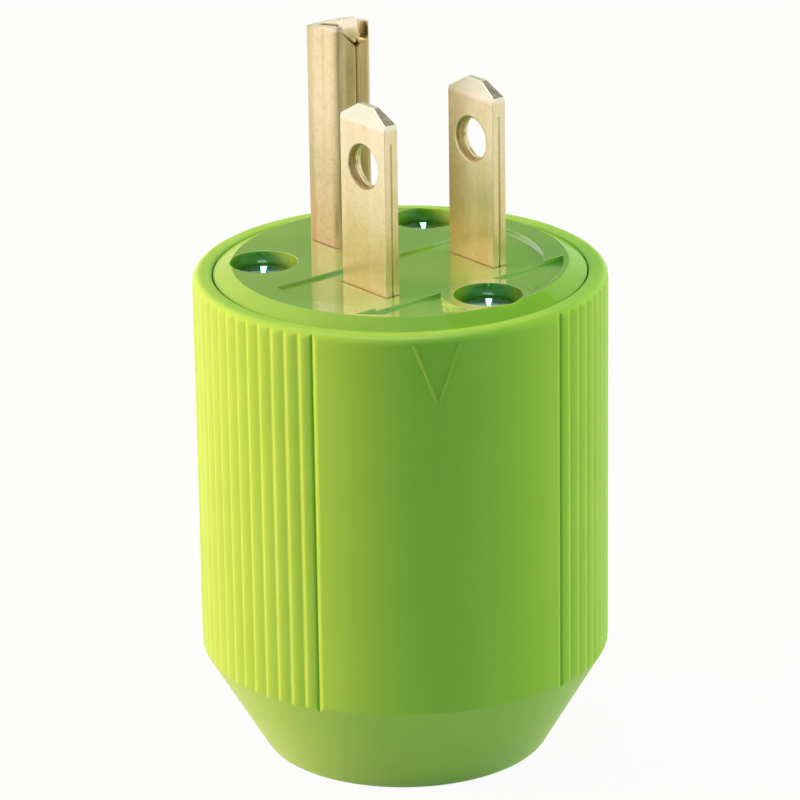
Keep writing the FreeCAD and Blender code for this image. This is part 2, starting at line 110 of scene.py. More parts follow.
class Signal:
    """A node socket that carries a number, with arithmetic that adds Math nodes."""

    def __init__(self, recipe: "Recipe", socket: Socket) -> None:
        """Keeps the socket and the recipe that it belongs to."""
        self.recipe = recipe
        self.socket = socket

    def _with(self, operation: str, left: "Feed", right: "Feed") -> "Signal":
        """The result of one Math node."""
        return self.recipe.signal(0, "ShaderNodeMath", {0: left, 1: right}, operation=operation)

    def __add__(self, other: "Feed") -> "Signal":
        """This signal plus another value."""
        return self._with("ADD", self, other)

    def __radd__(self, other: "Feed") -> "Signal":
        """Another value plus this signal."""
        return self._with("ADD", other, self)

    def __sub__(self, other: "Feed") -> "Signal":
        """This signal less another value."""
        return self._with("SUBTRACT", self, other)

    def __rsub__(self, other: "Feed") -> "Signal":
        """Another value less this signal."""
        return self._with("SUBTRACT", other, self)

    def __mul__(self, other: "Feed") -> "Signal":
        """This signal times another value."""
        return self._with("MULTIPLY", self, other)

    def __rmul__(self, other: "Feed") -> "Signal":
        """Another value times this signal."""
        return self._with("MULTIPLY", other, self)

    def least(self, other: "Feed") -> "Signal":
        """The lower of this signal and another value."""
        return self._with("MINIMUM", self, other)

    def most(self, other: "Feed") -> "Signal":
        """The higher of this signal and another value."""
        return self._with("MAXIMUM", self, other)

    def between(self, low: float, high: float) -> "Signal":
        """A smooth fade, from 0 where this signal is at the low value to 1 at the high one."""
        sockets = {"Value": self, "From Min": low, "From Max": high}
        return self.recipe.signal("Result", "ShaderNodeMapRange", sockets, interpolation_type="SMOOTHSTEP")


Feed = Union[Signal, Socket, float, Sequence[float]]
Sockets = dict[Union[str, int], Feed]


@dataclass(frozen=True)
class Pattern:
    """Soft noise: feature size in millimetres, finer layers, limits of its fade, fineness by axis."""

    size: float
    detail: float = 2.0
    fade: Optional[Pair] = None
    stretch: Point = (1.0, 1.0, 1.0)
    roughness: float = 0.55


class Recipe:
    """The node tree of one finish, or of the surroundings."""

    def __init__(self, owner: Union[Material, World]) -> None:
        """Empties the node tree of a material or a world."""
        self.owner = owner
        owner.use_nodes = True
        self.tree = owner.node_tree
        self.tree.nodes.clear()

    def node(self, kind: str, sockets: Optional[Sockets] = None, **settings: str) -> Node:
        """Adds one node.

        Args:
            kind: The node's type.
            sockets: Values or links of its inputs.
            settings: Its properties.

        Returns:
            The new node.
        """
        made = self.tree.nodes.new(kind)
        for name, value in settings.items():
            setattr(made, name, value)
        for name, value in (sockets or {}).items():
            self.feed(made.inputs[name], value)
        return made

    def signal(self, output: Union[str, int], kind: str, sockets: Sockets, **settings: str) -> Signal:
        """One output of a new node, as a signal."""
        return Signal(self, self.node(kind, sockets, **settings).outputs[output])

    def feed(self, socket: Socket, value: Feed) -> None:
        """Links a socket, or sets its value.

        Args:
            socket: The input socket.
            value: A signal, a socket or a constant.
        """
        if isinstance(value, Signal):
            self.tree.links.new(value.socket, socket)
        elif isinstance(value, Socket):
            self.tree.links.new(value, socket)
        elif isinstance(value, tuple) and socket.type == "RGBA":
            socket.default_value = (*value, 1.0)
        else:
            socket.default_value = value

    @cached_property
    def place(self) -> Socket:
        """The object coordinates, made when they are first asked for."""
        return self.node("ShaderNodeTexCoord").outputs["Object"]

    @cached_property
    def axes(self) -> Node:
        """The object coordinates in millimetres, parted by axis."""
        return self.node("ShaderNodeSeparateXYZ", {0: self.stretched((1.0, 1.0, 1.0))})

    def axis(self, name: str) -> Signal:
        """The coordinate along X, Y or Z in millimetres."""
        return Signal(self, self.axes.outputs[name])

    def stretched(self, scale: Point) -> Socket:
        """The object coordinates in millimetres, scaled by axis."""
        sockets = {0: self.place, 1: tuple(share / MM for share in scale)}
        return self.node("ShaderNodeVectorMath", sockets, operation="MULTIPLY").outputs["Vector"]

    def noise(self, pattern: Pattern) -> Signal:
        """Lays soft noise over the piece.

        Args:
            pattern: What the noise looks like.

        Returns:
            The noise, from 0 to 1.
        """
        place = self.stretched(tuple(share / pattern.size for share in pattern.stretch))
        sockets = {"Vector": place, "Scale": 1.0, "Detail": pattern.detail, "Roughness": pattern.roughness}
        found = self.signal("Fac", "ShaderNodeTexNoise", sockets)
        return found.between(*pattern.fade) if pattern.fade else found

    def mixed(self, share: Feed, first: Feed, second: Feed) -> Socket:
        """Mixes two colours by the share of the second."""
        return self.node("ShaderNodeMix", {0: share, 6: first, 7: second}, data_type="RGBA").outputs[2]

    def bumped(self, height: Signal, depth: float) -> Socket:
        """The normal bent by a height from 0 to 1, whose real depth is in millimetres."""
        sockets = {"Strength": 1.0, "Distance": depth * MM, "Height": height}
        return self.node("ShaderNodeBump", sockets).outputs["Normal"]

    def shown(self, to_camera: float, in_mirrors: float) -> Signal:
        """How much of its own white a piece of the stage shows, by the kind of ray.

        Args:
            to_camera: The share that the camera sees.
            in_mirrors: The share in reflections and through clear pieces.

        Returns:
            The share for the ray at hand.
        """
        rays = self.node("ShaderNodeLightPath").outputs
        mirrored = Signal(self, rays["Is Glossy Ray"]).most(rays["Is Transmission Ray"])
        return (Signal(self, rays["Is Camera Ray"]) * to_camera).most(mirrored * in_mirrors)

    def blended(self, share: Signal, first: Node, second: Node) -> Node:
        """Mixes two shaders by the share of the second."""
        return self.node("ShaderNodeMixShader", {0: share, 1: first.outputs[0], 2: second.outputs[0]})

    def closed(self, surface: Node) -> Union[Material, World]:
        """Ends the recipe with a shader.

        Args:
            surface: The node of the shader.

        Returns:
            The material or the world.
        """
        kind = "World" if isinstance(self.owner, World) else "Material"
        self.node("ShaderNodeOutput" + kind, {"Surface": surface.outputs[0]})
        return self.owner


# Finishes

@dataclass(frozen=True)
class Finish:
    """A surface clouded with a second colour, under a fine grain of a depth in millimetres."""

    name: str
    colour: Colour
    second: Colour
    roughness: float = 0.3
    spread: float = 0.1
    metallic: float = 0.0
    cloud: Pattern = Pattern(3.0)
    grain: Pattern = Pattern(0.2)
    grain_depth: float = 0.01

    def make(self) -> Material:
        """Makes the material."""
        recipe = Recipe(bpy.data.materials.new(self.name))
        return recipe.closed(self.surface(recipe))

    def surface(self, recipe: Recipe) -> Node:
        """Builds the shader.

        Args:
            recipe: The recipe of the material.

        Returns:
            The shader's node.
        """
        cloud = recipe.noise(self.cloud)
        return recipe.node("ShaderNodeBsdfPrincipled", {
            "Base Color": recipe.mixed(cloud, self.colour, self.second),
            "Metallic": self.metallic,
            "Roughness": self.roughness + self.spread * cloud,
            "Normal": recipe.bumped(recipe.noise(self.grain), self.grain_depth),
        })


@dataclass(frozen=True)
class PlatedSteel(Finish):
    """Plated steel with fine turned lines and a light haze."""

    roughness: float = 0.2
    spread: float = 0.12
    metallic: float = 1.0
    cloud: Pattern = Pattern(0.9, 3.0, (0.35, 0.75))
    grain: Pattern = Pattern(0.08)
    grain_depth: float = 0.0015


@dataclass(frozen=True)
class Rubber(Finish):
    """Dull rubber with a dusty bloom."""

    roughness: float = 0.68
    spread: float = 0.2
    cloud: Pattern = Pattern(1.6, 4.0, (0.4, 0.8))


@dataclass(frozen=True)
class MouldedPlastic(Finish):
    """Satin moulded plastic with faint flow clouding and a fine eroded grain."""

    roughness: float = 0.42
    spread: float = 0.04
    cloud: Pattern = Pattern(6.0, 3.0, (0.3, 0.7))
    grain: Pattern = Pattern(0.16)
    grain_depth: float = 0.004
    speck: Pattern = Pattern(0.5)
    speck_share: float = 0.5
    scatter: float = 0.0
    scatter_radius: Point = (1.0, 1.3, 0.25)
    scatter_scale: float = 0.9

    def surface(self, recipe: Recipe) -> Node:
        """Builds the shader.

        Args:
            recipe: The recipe of the material.

        Returns:
            The shader's node.
        """
        speck = recipe.noise(self.speck)
        return recipe.node("ShaderNodeBsdfPrincipled", {
            "Base Color": recipe.mixed(recipe.noise(self.cloud), self.colour, self.second),
            "Roughness": self.roughness - self.spread + 2.0 * self.spread * speck,
            "Subsurface Weight": self.scatter,
            "Subsurface Radius": self.scatter_radius,
            "Subsurface Scale": self.scatter_scale * MM,
            "Normal": recipe.bumped(recipe.noise(self.grain) + self.speck_share * speck, self.grain_depth),
        })


@dataclass(frozen=True)
class GlossyPlastic(Finish):
    """Polished moulded plastic whose mirror gets stronger at low angles and wavers a little."""

    spread: float = 0.06
    cloud: Pattern = Pattern(5.0, 3.0, (0.3, 0.7))
    grain: Pattern = Pattern(2.6, 1.0)
    grain_depth: float = 0.0015
    smear: Pattern = Pattern(1.4, 3.0)
    mirror: float = 4.0
    recess_mirror: float = 2.6
    shoulder_mirror: float = 0.5
    mirror_limit: float = 0.6
    recess_height: float = 47.35
    recess_fade: Pair = (-0.05, 0.05)
    shoulder_radius: float = 15.5
    shoulder_fade: Pair = (-0.1, 0.15)
    mirror_roughness: float = 0.05
    mirror_spread: float = 0.05
    scatter: float = 0.25
    scatter_radius: Point = (1.0, 1.3, 0.3)
    scatter_scale: float = 1.2
    refraction: float = 1.5

    def surface(self, recipe: Recipe) -> Node:
        """Builds the shader.

        Args:
            recipe: The recipe of the material.

        Returns:
            The shader's node.
        """
        smear = recipe.noise(self.smear)
        ripple = recipe.bumped(recipe.noise(self.grain), self.grain_depth)
        level = {0: recipe.stretched((1.0, 1.0, 0.0))}
        outward = recipe.signal("Value", "ShaderNodeVectorMath", level, operation="LENGTH")
        flat = 1.0 - outward.between(*(self.shoulder_radius + way for way in self.shoulder_fade))
        top = recipe.axis("Z").between(*(self.recess_height + way for way in self.recess_fade))
        body = recipe.node("ShaderNodeBsdfPrincipled", {
            "Base Color": recipe.mixed(recipe.noise(self.cloud), self.colour, self.second),
            "Roughness": self.roughness + self.spread * smear,
            "Specular IOR Level": 0.0,
            "Subsurface Weight": self.scatter,
            "Subsurface Radius": self.scatter_radius,
            "Subsurface Scale": self.scatter_scale * MM,
            "Normal": ripple,
        })
        mirror = recipe.node("ShaderNodeBsdfGlossy", {
            "Color": (1.0, 1.0, 1.0),
            "Roughness": self.mirror_roughness + self.mirror_spread * smear,
            "Normal": ripple,
        })
        glance = recipe.signal(0, "ShaderNodeFresnel", {"IOR": self.refraction, "Normal": ripple})
        strength = self.recess_mirror + (self.mirror - self.recess_mirror) * top
        strength = self.shoulder_mirror + (strength - self.shoulder_mirror) * flat
        return recipe.blended((glance * strength).least(self.mirror_limit), body, mirror)


@dataclass(frozen=True)
class Brass(Finish):
    """Rolled and tumbled brass: grain along the piece, small pits and warm clouding.

    Heights are the plug's own. The tip is worn bright above `worn_from`, the foot is duller and darker, the
    wall nearer than a set depth in Y has painted shade and reflection, and the nearer leaf inside a hole at
    `hole_at` has painted shade.
    """

    cloud: Pattern = Pattern(3.0, 4.0, (0.35, 0.75))
    grain: Pattern = Pattern(0.12, 2.0, None, (1.0, 1.0, 0.12))
    grain_depth: float = 0.006
    streaks: float = 0.15
    worn_from: float = 90.0
    worn_fade: float = 0.25
    worn: Colour = (1.0, 0.97, 0.80)
    worn_share: float = 0.8
    foot_matt: float = 0.2
    foot_fade: Pair = (46.5, 54.5)
    rise_fade: Pair = (49.0, 62.0)
    # How much darker and warmer the brass gets towards the foot.
    foot_darkening: float = 0.6
    # Painted shade and reflection on the near wall: its colour, where it ends in Y, its fade and its shares.
    painted_shade: Colour = (0.44, 0.35, 0.15)
    painted_shade_until: float = -90.0
    painted_shade_fade: float = 0.7
    painted_shade_shares: Pair = (0.45, 0.55)
    # Painted shade on the nearer leaf's wall inside the hole: where, how wide, its colour, share and
    # dullness.
    hole_at: Optional[Point] = None
    hole_radius: float = 2.12
    hole_fade: Pair = (-0.03, 0.03)
    hole_shade: Colour = (0.30, 0.22, 0.09)
    hole_share: float = 0.9
    hole_matt: float = 0.5
    leaf_fade: Pair = (-0.15, -0.05)
    cloud_share: float = 0.15
    blotch: Pattern = Pattern(0.7, 3.0, (0.45, 0.8))
    blotch_share: float = 0.15
    fine: Pattern = Pattern(0.3, 3.0, (0.35, 0.75))
    fine_share: float = 0.2
    streak: Pattern = Pattern(1.7, 1.0, (0.4, 0.62), (1.0, 1.0, 0.02))
    grain_rise: float = 0.6
    grain_spread: float = 0.06
    pits: Pattern = Pattern(0.22, 2.0, (0.55, 0.8))
    pit_rise: float = -0.8

    def surface(self, recipe: Recipe) -> Node:
        """Builds the shader.

        Args:
            recipe: The recipe of the material.

        Returns:
            The shader's node.
        """
        height = recipe.axis("Z")
        blotch, grain, streak = (recipe.noise(made) for made in (self.blotch, self.grain, self.streak))
        share = recipe.noise(self.cloud) * self.cloud_share + blotch * self.blotch_share
        share = share + recipe.noise(self.fine) * self.fine_share + streak * self.streaks
        # Darker and warmer towards the foot.
        share = share + (1.0 - height.between(*self.rise_fade)) * self.foot_darkening
        colour = recipe.mixed(share.least(1.0), self.colour, self.second)
        # Painted shade and reflection: the wall nearer than a set depth in Y is darkened, more along the
        # streaks.
        near = 1.0 - recipe.axis("Y").between(self.painted_shade_until - self.painted_shade_fade, self.painted_shade_until)
        colour = recipe.mixed(near * (self.painted_shade_shares[0] + self.painted_shade_shares[1] * streak), colour, self.painted_shade)
        metal = 1.0 - (1.0 - height.between(*self.foot_fade)) * self.foot_matt
        # Painted shade: the nearer leaf's wall inside the hole is darkened and made less metallic.
        if self.hole_at is not None:
            shaded = self.hole_wall(recipe)
            colour = recipe.mixed(shaded * self.hole_share, colour, self.hole_shade)
            metal = metal - shaded * self.hole_matt
        worn = height.between(self.worn_from, self.worn_from + self.worn_fade)
        rise = grain * self.grain_rise + recipe.noise(self.pits) * self.pit_rise
        return recipe.node("ShaderNodeBsdfPrincipled", {
            "Base Color": recipe.mixed(worn * self.worn_share, colour, self.worn),
            "Metallic": metal,
            "Roughness": self.roughness + self.spread * blotch + self.grain_spread * grain,
            "Normal": recipe.bumped(rise, self.grain_depth),
        })

    def hole_wall(self, recipe: Recipe) -> Signal:
        """Finds the nearer leaf's wall inside the hole.

        Args:
            recipe: The recipe of the material.

        Returns:
            A signal that is 1 on that wall and 0 off it.
        """
        across, y, z = self.hole_at
        sockets = {0: recipe.stretched((0.0, 1.0, 1.0)), 1: (0.0, y, z)}
        reach = recipe.signal("Value", "ShaderNodeVectorMath", sockets, operation="DISTANCE")
        inside = 1.0 - reach.between(*(self.hole_radius + way for way in self.hole_fade))
        return inside * (1.0 - recipe.axis("X").between(*(across + way for way in self.leaf_fade)))


# Mesh helpers

def turns(count: int) -> list[float]:
    """Even turns round a circle, in radians."""
    return [2 * math.pi * step / count for step in range(count)]


def polar(radius: float, turn: float, height: float = 0.0) -> Point:
    """The point at a reach from the plug's axis, a turn in radians and a height."""
    return (radius * math.cos(turn), radius * math.sin(turn), height)


def linked(name: str, data: bpy.types.ID) -> Piece:
    """Puts a new object in the scene.

    Args:
        name: The object's name.
        data: Its mesh, lamp or camera.

    Returns:
        The object.
    """
    piece = bpy.data.objects.new(name, data)
    bpy.context.scene.collection.objects.link(piece)
    return piece


@contextmanager
def opened(mesh: bpy.types.Mesh) -> Iterator[bmesh.types.BMesh]:
    """Opens a mesh for changes and writes them back.

    Args:
        mesh: The mesh.

    Yields:
        The shape to change.
    """
    shape = bmesh.new()
    shape.from_mesh(mesh)
    yield shape
    shape.to_mesh(mesh)
    shape.free()


def smoothed(piece: Piece, sharp: float = 32.0) -> Piece:
    """Shades a piece smooth except at its sharp edges.

    Args:
        piece: The piece.
        sharp: The angle in degrees from which an edge stays sharp.

    Returns:
        The same piece.
    """
    piece.data.shade_smooth()
    piece.data.set_sharp_from_angle(angle=math.radians(sharp))
    return piece


def new_piece(name: str, points: Iterable[Point], faces: Iterable[Face]) -> Piece:
    """Makes an object from a mesh.

    Args:
        name: The piece's name.
        points: The points in millimetres.
        faces: The faces as point numbers.

    Returns:
        The new piece.
    """
    mesh = bpy.data.meshes.new(name)
    mesh.from_pydata([tuple(part * MM for part in point) for point in points], [], list(faces))
    mesh.validate()
    return smoothed(linked(name, mesh))


def rounded_corners(corners: Sequence[Corner], steps: int) -> list[Pair]:
    """Rounds the corners of a flat closed outline.

    Args:
        corners: Corner positions with the radius of each.
        steps: How many runs each rounding has.

    Returns:
        The outline's points.
    """
    outline: list[Pair] = []
    count = len(corners)
    for index, (x, y, radius) in enumerate(corners):
        here = Vector((x, y))
        if radius <= 0.0:
            outline.append((x, y))
            continue
        back = (Vector(corners[index - 1][:2]) - here).normalized()
        onward = (Vector(corners[(index + 1) % count][:2]) - here).normalized()
        half = back.angle(onward) / 2
        reach = radius / math.tan(half)
        centre = here + (back + onward).normalized() * (radius / math.sin(half))
        start = here + back * reach - centre
        end = here + onward * reach - centre
        turn = start.angle_signed(end)
        for step in range(steps + 1):
            arm = start.copy()
            arm.rotate(Matrix.Rotation(-turn * step / steps, 2))
            outline.append((centre.x + arm.x, centre.y + arm.y))
    return outline


def ring_faces(rings: int, count: int, closed: bool = False, start: int = 0) -> list[Face]:
    """The quads between rings of points, with caps on the ends of an open row of rings.

    Args:
        rings: How many rings there are.
        count: How many points each ring has.
        closed: Whether the last ring joins the first.
        start: The number of the first point.

    Returns:
        The faces as point numbers.
    """
    faces: list[Face] = []
    for ring in range(rings if closed else rings - 1):
        here, after = start + ring * count, start + (ring + 1) % rings * count
        for step in range(count):
            beside = (step + 1) % count
            faces.append((here + step, here + beside, after + beside, after + step))
    if not closed:
        last = start + (rings - 1) * count
        faces += [tuple(reversed(range(start, start + count))), tuple(range(last, last + count))]
    return faces


def welded(piece: Piece, distance: float = 0.002) -> Piece:
    """Joins points that lie together and turns the faces outwards.

    Args:
        piece: The piece.
        distance: How near points are joined, in millimetres.

    Returns:
        The same piece.
    """
    with opened(piece.data) as shape:
        bmesh.ops.remove_doubles(shape, verts=shape.verts, dist=distance * MM)
        bmesh.ops.dissolve_degenerate(shape, edges=shape.edges, dist=distance * MM / 4)
        bmesh.ops.recalc_face_normals(shape, faces=shape.faces)
    return smoothed(piece)


def lathed(
    name: str, rings: Sequence[Sequence[Pair]], angles: Sequence[float], at: Sequence[float], closed: bool,
) -> Piece:
    """Skins rings of points that stand round an upright axis.

    Args:
        name: The piece's name.
        rings: The rings, each with the radius and height of all its points.
        angles: The points' angles in radians.
        at: Where the axis stands.
        closed: Whether the last ring joins the first.

    Returns:
        The new piece.
    """
    points = []
    for ring in rings:
        for angle, (radius, height) in zip(angles, ring):
            x, y, z = polar(radius, angle, height)
            points.append((at[0] + x, at[1] + y, at[2] + z))
    return welded(new_piece(name, points, ring_faces(len(rings), len(angles), closed)))


def prism(name: str, outline: Sequence[Pair], start: float, end: float, axis: str) -> Piece:
    """Draws a flat outline out along one axis.

    Args:
        name: The piece's name.
        outline: The outline's points, in the order of the other two axes.
        start: Where it starts on the axis.
        end: Where it ends on the axis.
        axis: The axis, "X", "Y" or "Z".

    Returns:
        The new piece.
    """
    place = "XYZ".index(axis)
    points = [(*pair[:place], along, *pair[place:]) for along in (start, end) for pair in outline]
    return welded(new_piece(name, points, ring_faces(2, len(outline))))


def applied(piece: Piece) -> Piece:
    """Turns a piece's modifiers into its mesh.

    Args:
        piece: The piece.

    Returns:
        The same piece.
    """
    graph = bpy.context.evaluated_depsgraph_get()
    mesh = bpy.data.meshes.new_from_object(piece.evaluated_get(graph))
    piece.modifiers.clear()
    piece.data = mesh
    return piece


def flattened(piece: Piece) -> Piece:
    """Keeps the shading of a piece's large faces flat, so that only its roundings bend the light.

    Args:
        piece: The piece.

    Returns:
        The same piece.
    """
    weigh = piece.modifiers.new("weigh", "WEIGHTED_NORMAL")
    weigh.mode = "FACE_AREA"
    weigh.weight = 100
    weigh.keep_sharp = True
    return applied(piece)


def joined(piece: Piece, parts: Sequence[Piece]) -> Piece:
    """Adds the meshes of some parts to a piece and removes the parts.

    Args:
        piece: The piece.
        parts: What it takes in.

    Returns:
        The same piece.
    """
    with opened(piece.data) as shape:
        for part in parts:
            shape.from_mesh(part.data)
            bpy.data.objects.remove(part)
    return flattened(smoothed(piece))


def cut_out(piece: Piece, cutter: Piece) -> Piece:
    """Cuts one piece's shape out of another and removes the cutter.

    Args:
        piece: The piece.
        cutter: What is cut out of it.

    Returns:
        The same piece.
    """
    cut = piece.modifiers.new("cut", "BOOLEAN")
    cut.object = cutter
    cut.operation = "DIFFERENCE"
    cut.solver = "EXACT"
    cut.use_self = True
    applied(piece)
    bpy.data.objects.remove(cutter)
    return piece


@dataclass(frozen=True)
class Easing:
    """How a piece is trimmed by planes and how its edges are rounded.

    The radius is in millimetres, `steps` are the runs of a rounding, `sharp` is the angle in degrees
    from which an edge is rounded, and a cut is a point on its plane and the direction of what goes.
    """

    radius: float
    steps: int = 2
    sharp: float = 20.0
    cuts: Sequence[Cut] = ()
    weld: float = 0.002
    flat_within: float = 0.6


def eased(piece: Piece, easing: Easing) -> Piece:
    """Trims a piece by planes and rounds its sharp edges.

    Args:
        piece: The piece.
        easing: What is cut and rounded.

    Returns:
        The same piece.
    """
    with opened(piece.data) as shape:
        bmesh.ops.remove_doubles(shape, verts=shape.verts, dist=easing.weld * MM)
        bmesh.ops.dissolve_limit(
            shape, angle_limit=math.radians(easing.flat_within), use_dissolve_boundaries=False,
            verts=shape.verts, edges=shape.edges,
        )
        for point, away in easing.cuts:
            cut = bmesh.ops.bisect_plane(
                shape, geom=shape.verts[:] + shape.edges[:] + shape.faces[:],
                plane_co=Vector(point) * MM, plane_no=Vector(away), clear_outer=True,
            )
            rim = [item for item in cut["geom_cut"] if isinstance(item, bmesh.types.BMEdge)]
            bmesh.ops.holes_fill(shape, edges=rim, sides=0)
        edges = [
            edge for edge in shape.edges
            if len(edge.link_faces) == 2 and edge.calc_face_angle(0.0) > math.radians(easing.sharp)
        ]
        bmesh.ops.bevel(
            shape, geom=edges, offset=easing.radius * MM, offset_type="OFFSET", segments=easing.steps,
            profile=0.5, affect="EDGES", clamp_overlap=True,
        )
        bmesh.ops.recalc_face_normals(shape, faces=shape.faces)
    return flattened(smoothed(piece))


def eased_copy(node: str, name: str, easing: Easing) -> Piece:
    """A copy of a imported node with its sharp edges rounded.

    Args:
        node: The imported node.
        name: The new piece's name.
        easing: What is cut and rounded.

    Returns:
        The new piece, which stands for the node.
    """
    mesh = frame["nodes"][node].data.copy()
    mesh.name = name
    if mesh.attributes.get("custom_normal"):
        mesh.attributes.remove(mesh.attributes["custom_normal"])
    piece = eased(linked(name, mesh), easing)
    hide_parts(node)
    return piece


def dressed(piece: Piece, finish: Material) -> Piece:
    """Gives a piece its finish, and lets it ride on the plug.

    Args:
        piece: The piece.
        finish: Its material.

    Returns:
        The same piece.
    """
    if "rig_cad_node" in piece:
        for place in piece.material_slots:
            place.material = finish
    else:
        piece.data.materials.clear()
        piece.data.materials.append(finish)
        piece.data.polygons.foreach_set("material_index", [0] * len(piece.data.polygons))
        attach(piece, "root")
    log.info("%s: %d faces, %s", piece.name, len(piece.data.polygons), finish.name)
    return piece


# Sub-assemblies, with all lengths in millimetres and all angles in degrees

@dataclass
class Housing:
    """The reeded shell, its index mark and its screw bosses.

    The trough, the seat and the bosses' feet are pairs of a radius and a height.
    """

    radius: float = 19.25
    height: float = 46.75
    wall: float = 1.86
    rim_rounding: float = 0.8
    rim_inner_rounding: float = 0.3
    shoulder_height: float = 10.2
    shoulder_rounding: float = 0.5
    cord_end_radius: float = 13.3
    cord_end_rounding: float = 1.0
    cord_hole_radius: float = 5.7
    floor_height: float = 3.2
    bore_foot: float = 10.7
    trough: Pair = (14.0, 4.8)
    seat_outer_radius: float = 10.4
    seat_top: Pair = (9.0, 12.4)
    seat_foot: Pair = (7.0, 4.4)
    shell_sharp: float = 50.0
    rounding_steps: int = 10
    ring_run: float = 1.2
    fine_ring_run: float = 0.07
    fine_above_shoulder: float = 0.5
    plain_within: float = 0.4
    reed_pitch: float = 4.5
    reed_rise: float = 0.2
    reed_hollow: float = 1.5
    riser_share: float = 0.24
    edge_softness: float = 0.025
    steps_per_reed: int = 14
    panel_steps_kept: int = 4
    panel_centre: float = -117.0
    panel_half: float = 37.0
    panel_edge_ease: float = 0.8
    panel_edge_drop: float = 0.32
    panel_crown: float = 0.12
    mark_angle: float = -119.4
    mark_drop: float = 0.65
    mark_height: float = 5.7
    mark_half_width: float = 2.1
    mark_line: float = 0.42
    mark_relief: float = 0.13
    mark_sink: float = 0.02
    mark_steps: int = 24
    mark_fades: Pair = (24.0, 12.0)
    mark_weld: float = 0.0005
    mark_sharp: float = 60.0
    mark_section: Sequence[Pair] = (
        (-1.0, -0.3), (-0.8, 0.55), (-0.45, 0.9), (0.0, 1.0), (0.45, 0.9), (0.8, 0.55), (1.0, -0.3),
    )
    boss_circle: float = 12.6
    boss_radius: float = 3.6
    boss_top: float = 23.0
    boss_foot: Pair = (2.6, 4.5)
    boss_flank_foot: float = 6.4
    boss_steps: int = 48
    axis_radius: float = 0.01
    insert_radius: float = 2.6
    insert_length: float = 8.0
    web_depth: float = 2.0
    web_overlap: float = 0.5
    web_foot: float = 11.0

    def build(self) -> Pieces:
        """Builds the shell, the mark and the bosses."""
        return {"shell": self.shell(), "mark": self.mark(), "bosses": self.bosses()}

    def off_panel(self, angle: float) -> float:
        """How far an angle is from the middle of the smooth panel, in degrees."""
        return (angle - self.panel_centre + 180.0) % 360.0 - 180.0

    def angles(self) -> list[float]:
        """The angles of the shell's points, finer over the reeds than over the panel.

        Returns:
            The angles in degrees.
        """
        found = []
        fine = int(round(360.0 / self.reed_pitch)) * self.steps_per_reed
        for step in range(fine):
            angle = step * 360.0 / fine
            plain = abs(self.off_panel(angle)) < self.panel_half - self.reed_pitch
            if not (plain and step % self.panel_steps_kept):
                found.append(angle)
        return found

    def reed_reach(self, angle: float) -> float:
        """How far out the reeds' own surface lies at an angle, before the body trims it.

        Args:
            angle: The angle in degrees.

        Returns:
            The radius in millimetres.
        """
        off_panel = abs(self.off_panel(angle))
        if off_panel < self.panel_half:
            crown = min(math.radians(self.panel_half - off_panel) * self.radius / self.panel_edge_ease, 1.0)
            drop = self.panel_edge_drop * (1.0 - crown * (2.0 - crown))
            return self.radius - drop + self.panel_crown * crown ** 2
        mirrored = math.sin(math.radians(2 * self.off_panel(angle))) > 0.0
        place = ((-angle if mirrored else angle) / self.reed_pitch + self.riser_share / 2) % 1.0
        if place < self.riser_share:
            return self.radius - self.reed_rise * (1.0 - place / self.riser_share)
        slope = (place - self.riser_share) / (1.0 - self.riser_share)
        return self.radius - self.reed_rise * slope ** self.reed_hollow

    def trimmed(self, reach: float, reed: float) -> float:
        """The lower of the body's and the reeds' radius, with the corner between them softened."""
        gap = abs(reach - reed) / self.edge_softness
        return min(reach, reed) - self.edge_softness * math.log1p(math.exp(-gap))

    def outline(self) -> list[tuple[float, float, bool]]:
        """The rings of the closed shell, with smaller steps where the reeds run out in the cone.

        Returns:
            The radius and height of each ring, and whether reeds shape it.
        """
        bore = self.radius - self.wall
        spread = self.radius - self.cord_end_radius
        cone_share = (self.radius - self.reed_rise * 2 - self.cord_end_radius) / spread
        reed_foot = self.cord_end_radius + spread * cone_share
        outside = rounded_corners([
            (self.cord_hole_radius, 0.0, 0.0),
            (self.cord_end_radius, 0.0, self.cord_end_rounding),
            (reed_foot, self.shoulder_height * cone_share, 0.0),
            (self.radius, self.shoulder_height, self.shoulder_rounding),
            (self.radius, self.height, self.rim_rounding),
            (bore, self.height, self.rim_inner_rounding),
            (bore, self.boss_top, 0.0),
        ], self.rounding_steps)
        rings: list[tuple[float, float, bool]] = []
        for (r0, z0), (r1, z1) in zip(outside, outside[1:]):
            parts = 1
            if max(r0, r1) > bore + self.plain_within:
                fine = z1 < self.shoulder_height + self.fine_above_shoulder and r0 > reed_foot - 0.01
                run = math.hypot(r1 - r0, z1 - z0)
                parts = max(1, int(run / (self.fine_ring_run if fine else self.ring_run)))
            for part in range(parts):
                share = part / parts
                rings.append((r0 + (r1 - r0) * share, z0 + (z1 - z0) * share, True))
        inside = (
            (bore, self.boss_top), (bore, self.bore_foot), self.trough,
            (self.seat_outer_radius, self.trough[1]), (self.seat_outer_radius, self.seat_top[1]),
            self.seat_top, self.seat_foot, (self.seat_foot[0], self.floor_height),
            (self.cord_hole_radius, self.floor_height),
        )
        return rings + [(radius, height, False) for radius, height in inside]

    def shell(self) -> Piece:
        """The moulded shell, a closed ring of rings.

        Returns:
            The new piece.
        """
        angles = self.angles()
        reaches = [self.reed_reach(angle) for angle in angles]
        rings = [
            [(self.trimmed(radius, reach) if reeded else radius, height) for reach in reaches]
            for radius, height, reeded in self.outline()
        ]
        spins = [math.radians(angle) for angle in angles]
        shell = lathed("housing_shell", rings, spins, (0.0, 0.0, 0.0), True)
        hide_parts("housing")
        return smoothed(shell, self.shell_sharp)

